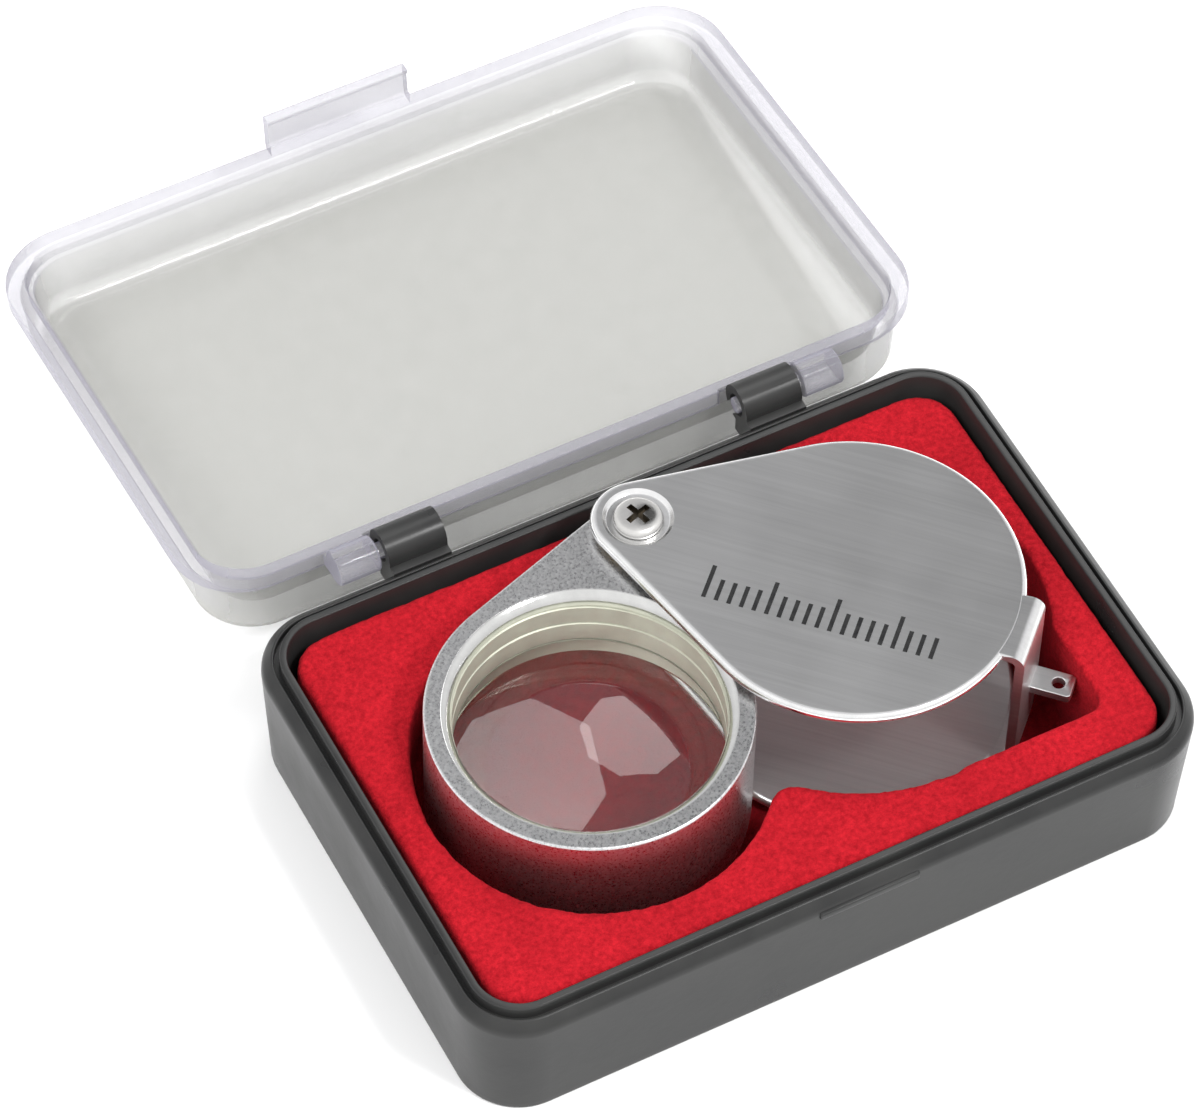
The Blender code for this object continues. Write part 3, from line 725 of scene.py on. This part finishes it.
def build_cover():
    """Two leaves with a screw dimple each, the spine that joins them, and the lanyard lug."""
    leaf = [(0, 0, LEAF_END_R), (LENS_REACH, 0, LEAF_R)]
    drill = [
        (0, LEAF_TOP + 1), (2.8, LEAF_TOP + 1), (2.8, LEAF_TOP + 0.02), (2.72, LEAF_TOP - 0.05),
        (2.52, LEAF_TOP - 0.3), (2.4, LEAF_TOP - 0.35), (1.15, LEAF_TOP - 0.35),
        (1.15, LEAF_TOP - 2), (0, LEAF_TOP - 2),
    ]
    top = rounded_plate("cover_leaf_top", leaf, LEAF_TOP - LEAF_THICK, LEAF_TOP, 0.2, 0.55)
    combine(top, [turned("drill", drill, 64)], "DIFFERENCE")
    low = rounded_plate("cover_leaf_low", leaf, LEAF_LOW, LEAF_LOW + LEAF_THICK, 0.2, 0.42)
    drill = [(r, LEAF_TOP + LEAF_LOW - z) for r, z in reversed(drill)]
    combine(low, [turned("drill", drill, 64)], "DIFFERENCE")
    bend, thick, start, sink = 1.1, 0.74, 29.7, 0.03
    bend_x, low_z, top_z = 31.9 - bend, LEAF_LOW + sink + bend, LEAF_TOP - sink - bend
    section = [(start, low_z - bend)] + arc(bend_x, low_z, bend, -90, 0, 12)
    section += arc(bend_x, top_z, bend, 0, 90, 12)
    section += [(start, top_z + bend), (start, top_z + bend - thick)]
    section += arc(bend_x, top_z, bend - thick, 90, 0, 12)
    section += arc(bend_x, low_z, bend - thick, 0, -90, 12)
    section += [(start, low_z - bend + thick)]
    spine = extruded("cover_spine", section, -2.5, 3.5, 0.18)
    move_mesh(spine, Matrix.Rotation(math.pi / 2, 4, "X"))
    lug_y = 1.0
    outline = hull_outline([(x, lug_y + side * 0.75, 0.35) for x in (31.6, 34.75)
                            for side in (-1, 1)], 64)
    lug = extruded("lanyard_lug", outline, 8.6, 9.4)
    eye = move_mesh(turned("eye", [(0, 10.5), (0.5, 10.5), (0.5, 7.5), (0, 7.5)], 40),
                    Matrix.Translation((33.9 * MM, lug_y * MM, 0)))
    combine(lug, [eye], "DIFFERENCE")
    soften(lug, 0.12, 2)
    for obj in (top, low, spine):
        crisp(obj)
    for obj in (top, low, spine, lug):
        at_pivot(obj, COVER_TURN)
        NO_KEY.append(obj)
        piece(obj, COVER_STEEL, "loupe_cover", "brushed_cover", "cover")
    top.data.materials.append(EDGE_STEEL)
    for face in top.data.polygons:
        sloping = 0.05 < face.normal.z < 0.985
        if sloping and (face.center.xy - PIVOT.xy).length > DIMPLE_R * MM:
            face.material_index = 1


def build_marks():
    """Plain scale ticks, a millimetre apart, printed along the cover."""
    bm = bmesh.new()
    for k in range(TICKS):
        tall = TICK_LONG if k % 5 == 0 else TICK_SHORT
        x, y = TICK_START[0] + k, TICK_START[1]
        low = Vector((x - TICK_HALF_WIDTH, y, LEAF_TOP + 0.004)) * MM
        high = Vector((x + TICK_HALF_WIDTH, y + tall, LEAF_TOP + 0.02)) * MM
        cube = bmesh.ops.create_cube(bm, size=1.0)["verts"]
        bmesh.ops.scale(bm, verts=cube, vec=high - low)
        bmesh.ops.translate(bm, verts=cube, vec=(high + low) / 2)
    marks = at_pivot(finish_mesh(bm, "cover_scale_marks"), COVER_TURN)
    piece(marks, INK, "loupe_cover", "mark_ink")


def build_screws():
    """Two cross-head pivot screws, the lower one upside down."""
    for name, sign, z in (("pivot_screw_top", 1, LEAF_TOP - SCREW_SEAT),
                          ("pivot_screw_bottom", -1, LEAF_LOW + SCREW_SEAT)):
        profile = [
            (0, SCREW_HEAD), (0.6, 0.77), (1.1, 0.72), (1.5, 0.64), (1.78, 0.48), (1.9, 0.32),
            (1.95, 0.2), (1.95, 0.02), (1.92, 0.0), (0.95, 0.0), (0.95, -5.2), (0.6, -5.6),
            (0, -5.6),
        ]
        screw = turned(name + "_piece", profile, 96)
        for turn in CROSS_TURNS:
            slot = block("slot", -CROSS_REACH, CROSS_REACH, -CROSS_HALF_WIDTH, CROSS_HALF_WIDTH,
                         CROSS_FLOOR, 2.0)
            move_mesh(slot, Matrix.Rotation(math.radians(turn), 4, "Z"))
            combine(screw, [slot], "DIFFERENCE")
        crisp(screw)
        shaded_recess = []     # 1 for the floor and walls of the cross, which get the painted shade, 0 for the other faces
        for face in screw.data.polygons:
            across = face.center.xy.length / MM
            deep = face.center.z / MM < 0.5 or abs(face.normal.z) < 0.3
            shaded_recess.append(int(across < 1.22 and deep and face.center.z > 0.0))
        if sign < 0:
            move_mesh(screw, Matrix.Rotation(math.pi, 4, "X"))
        move_mesh(screw, Matrix.Translation((0, 0, z * MM)))
        at_pivot(screw, COVER_TURN)
        piece(screw, SCREW_STEEL, "loupe_cover", "screw_steel", name)
        screw.data.materials.append(RECESS_SHADE)
        screw.data.polygons.foreach_set("material_index", shaded_recess)
        NO_KEY.append(screw)


def build_housing():
    """Lens housing with its bore and pivot hole, and the bright liner of the bore."""
    top, low = HOUSING_TOP, HOUSING_LOW
    body = rounded_plate("housing_body", [(0, 0, HOUSING_END_R), (LENS_REACH, 0, HOUSING_R)],
                         low, top, 0.16, 0.22, 240, 4)
    bore = turned("bore", [(0, top + 1), (BORE_R, top + 1), (BORE_R, low - 1), (0, low - 1)], 200)
    move_mesh(bore, Matrix.Translation((LENS_REACH * MM, 0, 0)))
    hole = turned("hole", [(0, top + 1), (1.75, top + 1), (1.75, low - 1), (0, low - 1)], 48)
    combine(body, [bore, hole], "DIFFERENCE")
    crisp(body)
    at_pivot(body, LENS_TURN)
    piece(body, SATIN, "lens_holder", "satin_housing", "lens_housing")
    NO_KEY.append(body)
    liner = [(11.34, top - 0.05), (11.27, top - 0.02), (11.2, top - 0.04), (10.6, top - 0.55),
             (10.57, top - 0.62), (10.6, top - 0.7), (10.94, top - 0.72), (10.94, low + 0.45),
             (11.26, low + 0.02), (11.34, low + 0.05)]
    ring = turned("housing_bore", liner, 200, closed=True)
    at_pivot(ring, LENS_TURN, LENS_REACH)
    piece(ring, BEVEL_STEEL, "lens_holder", "satin_housing", "lens_housing")


def dome(curve, half_width, edge_z, steps=28):
    """Profile of a lens face from its middle to its edge, with that radius of curvature."""
    sag = curve - math.sqrt(curve ** 2 - half_width ** 2)
    points = []
    for k in range(steps + 1):
        r = half_width * k / steps
        points.append((r, edge_z + (math.sqrt(curve ** 2 - r ** 2) - (curve - sag))))
    return points


def build_optics():
    """Glass of the lens group, its two retaining rings and the stepped spacer."""
    edge, flat = DOME_EDGE_Z, GLASS_LOW_Z
    profile = dome(DOME_CURVE, CLEAR_R, edge)
    profile += [(CLEAR_R, edge - 0.3), (CLEAR_R - 0.1, flat + 0.1), (CLEAR_R - 0.2, flat),
                (0, flat)]
    lens = turned("lens_group_glass", profile, 160)
    at_pivot(lens, LENS_TURN, LENS_REACH)
    piece(lens, GLASS, "lens_holder", "lens_glass", "lens_top", "lens_bottom")
    lens.data.materials.append(SPACER)
    for face in lens.data.polygons:
        face.material_index = int(abs(face.normal.z) < 0.3)
    NO_FRONT.append(lens)
    wall = [(10.9, 15.05), (10.9, 10.45), (10.5, 10.45)]
    for k in range(2):
        z = 10.6 + 2.1 * k
        wall += [(CLEAR_R, z), (CLEAR_R, z + 1.8), (CLEAR_R + 0.14, z + 1.86),
                 (CLEAR_R + 0.14, z + 2.06)]
    wall += [(CLEAR_R, 14.85), (10.55, 15.05)]
    for name, profile, mat in (
            ("retaining_ring_top", wall, SPACER),
            ("retaining_ring_bottom", [(10.9, 4.7), (10.9, 5.45), (CLEAR_R, 5.45),
                                       (CLEAR_R, 5.05), (10.78, 4.7)], BEVEL_STEEL)):
        ring = turned(name + "_piece", profile, 160, closed=True)
        at_pivot(ring, LENS_TURN, LENS_REACH)
        piece(ring, mat, "lens_holder", "polished_ring", name)
    profile = [(LENS_R, 10.2), (LENS_R, 5.6), (CLEAR_R + 0.1, 5.6)]
    for k in range(2):
        z = 5.75 + 2.2 * k
        profile += [(CLEAR_R + 0.05, z), (CLEAR_R + 0.05, z + 1.9), (CLEAR_R + 0.25, z + 1.96),
                    (CLEAR_R + 0.25, z + 2.14)]
    profile.append((CLEAR_R + 0.1, 10.2))
    spacer = turned("lens_spacer_piece", profile, 160, closed=True)
    at_pivot(spacer, LENS_TURN, LENS_REACH)
    piece(spacer, SPACER, "lens_holder", "spacer_alloy", "lens_spacer")


def finish_nodes():
    """The plain CAD nodes that keep their shape get their finished material."""
    for name, mat in (("pivot_sleeve", SCREW_STEEL), ("washer_top", BRONZE),
                      ("washer_bottom", BRONZE)):
        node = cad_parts[name]
        node.data.materials.clear()
        node.data.materials.append(mat)


# --- Stage -------------------------------------------------------------------
PANEL_STRETCH = 1.22


def build_floor():
    """White floor just under the case."""
    bm = bmesh.new()
    bmesh.ops.create_grid(bm, x_segments=1, y_segments=1, size=3.0)
    floor = finish_mesh(bm, "floor")
    floor.location.z = -0.02 * MM
    m = Nodes("floor_white")
    m.set(Base_Color=(0.93, 0.93, 0.93, 1.0), Roughness=0.9, Specular_IOR_Level=0.1)
    floor.data.materials.append(m.mat)


def direction(azimuth, elevation):
    """Unit vector towards a compass azimuth (0 is +Y, 90 is +X) and an elevation."""
    a, e = math.radians(azimuth), math.radians(elevation)
    return Vector((math.sin(a) * math.cos(e), math.cos(a) * math.cos(e), math.sin(e)))


def softbox(name, azimuth, elevation, distance, radius, strength, sides, turn):
    """A lamp panel with that many sides, facing the object."""
    bm = bmesh.new()
    corners = [2 * math.pi * k / sides + turn for k in range(sides)]
    bm.faces.new([bm.verts.new((radius * math.cos(t), radius * math.sin(t), 0))
                  for t in corners])
    panel = finish_mesh(bm, name)
    towards = direction(azimuth, elevation)
    panel.location = towards * distance
    panel.rotation_euler = towards.to_track_quat("Z", "Y").to_euler()
    panel.scale.y = PANEL_STRETCH
    m = Nodes(name + "_glow")
    m.set(Base_Color=(0, 0, 0, 1), Emission_Color=(1, 1, 1, 1), Emission_Strength=strength)
    panel.data.materials.append(m.mat)
    panel.visible_camera = False
    return panel


def area(name, azimuth, elevation, distance, size, power, glossy=False):
    """A round lamp facing the object, seen in reflections only if glossy."""
    lamp = bpy.data.lights.new(name, "AREA")
    lamp.shape = "DISK"
    lamp.size = size
    lamp.energy = power
    obj = link(bpy.data.objects.new(name, lamp))
    towards = direction(azimuth, elevation)
    obj.location = towards * distance
    obj.rotation_euler = towards.to_track_quat("Z", "Y").to_euler()
    obj.visible_glossy = glossy
    return obj


def light_only(lamp, excluded):
    """The lamp lights everything but the pieces in the list."""
    group = bpy.data.collections.new(lamp.name + "_excluded")
    for obj in excluded:
        group.objects.link(obj)
    for entry in group.collection_objects:
        entry.light_linking.link_state = "EXCLUDE"
    lamp.light_linking.receiver_collection = group


def build_world():
    """White sky, greyer round one direction behind the case and dimmer near the ground."""
    world = bpy.data.worlds.new("studio")
    bpy.context.scene.world = world
    world.use_nodes = True
    tree = world.node_tree
    back = tree.nodes["Background"]
    place = tree.nodes.new("ShaderNodeTexCoord")
    dot = tree.nodes.new("ShaderNodeVectorMath")
    dot.operation = "DOT_PRODUCT"
    dot.inputs[1].default_value = direction(29, 56)
    ramp = tree.nodes.new("ShaderNodeValToRGB")
    ramp.color_ramp.elements[0].position = 0.55
    ramp.color_ramp.elements[0].color = (1.0, 1.0, 1.0, 1.0)
    ramp.color_ramp.elements[1].position = 0.92
    ramp.color_ramp.elements[1].color = (0.6, 0.6, 0.61, 1.0)
    tree.links.new(place.outputs["Generated"], dot.inputs[0])
    tree.links.new(dot.outputs["Value"], ramp.inputs["Fac"])
    tree.links.new(ramp.outputs["Color"], back.inputs["Color"])
    height = tree.nodes.new("ShaderNodeSeparateXYZ")
    level = tree.nodes.new("ShaderNodeMapRange")
    for socket, value in (("From Min", -0.1), ("From Max", 0.6),
                          ("To Min", 0.7), ("To Max", 1.02)):
        level.inputs[socket].default_value = value
    tree.links.new(place.outputs["Generated"], height.inputs["Vector"])
    tree.links.new(height.outputs["Z"], level.inputs["Value"])
    tree.links.new(level.outputs["Result"], back.inputs["Strength"])


def build_camera():
    """Camera looking at the target from an azimuth, an elevation and a distance."""
    azimuth, elevation = math.radians(CAMERA_AZIMUTH), math.radians(CAMERA_ELEVATION)
    back = Vector((math.sin(azimuth) * math.cos(elevation),
                   -math.cos(azimuth) * math.cos(elevation), math.sin(elevation)))
    right = Vector((0, 0, 1)).cross(back).normalized()
    up = back.cross(right)
    roll = math.radians(CAMERA_ROLL)
    x_axis = math.cos(roll) * right + math.sin(roll) * up
    y_axis = math.cos(roll) * up - math.sin(roll) * right
    camera = bpy.data.cameras.new("camera")
    camera.lens = CAMERA_LENS
    camera.sensor_fit = "HORIZONTAL"
    camera.sensor_width = 36.0
    camera.clip_start = 0.01
    obj = link(bpy.data.objects.new("camera", camera))
    turn = Matrix((x_axis, y_axis, back)).transposed().to_4x4()
    turn.translation = CAMERA_TARGET + back * CAMERA_DISTANCE
    obj.matrix_world = turn
    bpy.context.scene.camera = obj


build_base()
build_lid()
build_insert()
build_cover()
build_marks()
build_screws()
build_housing()
build_optics()
finish_nodes()
build_floor()
build_world()
key = softbox("softbox_key", azimuth=49, elevation=51.3, distance=1.2, radius=0.34,
              strength=4.6, sides=8, turn=0.2)
light_only(key, excluded=NO_KEY)
area("lamp_left", azimuth=-110, elevation=50, distance=1.3, size=0.7, power=9.0)
front = area("lamp_front", azimuth=150, elevation=57, distance=1.4, size=0.26, power=10.0,
             glossy=True)
light_only(front, excluded=NO_FRONT)
build_camera()
bpy.context.scene.view_settings.view_transform = "Standard"
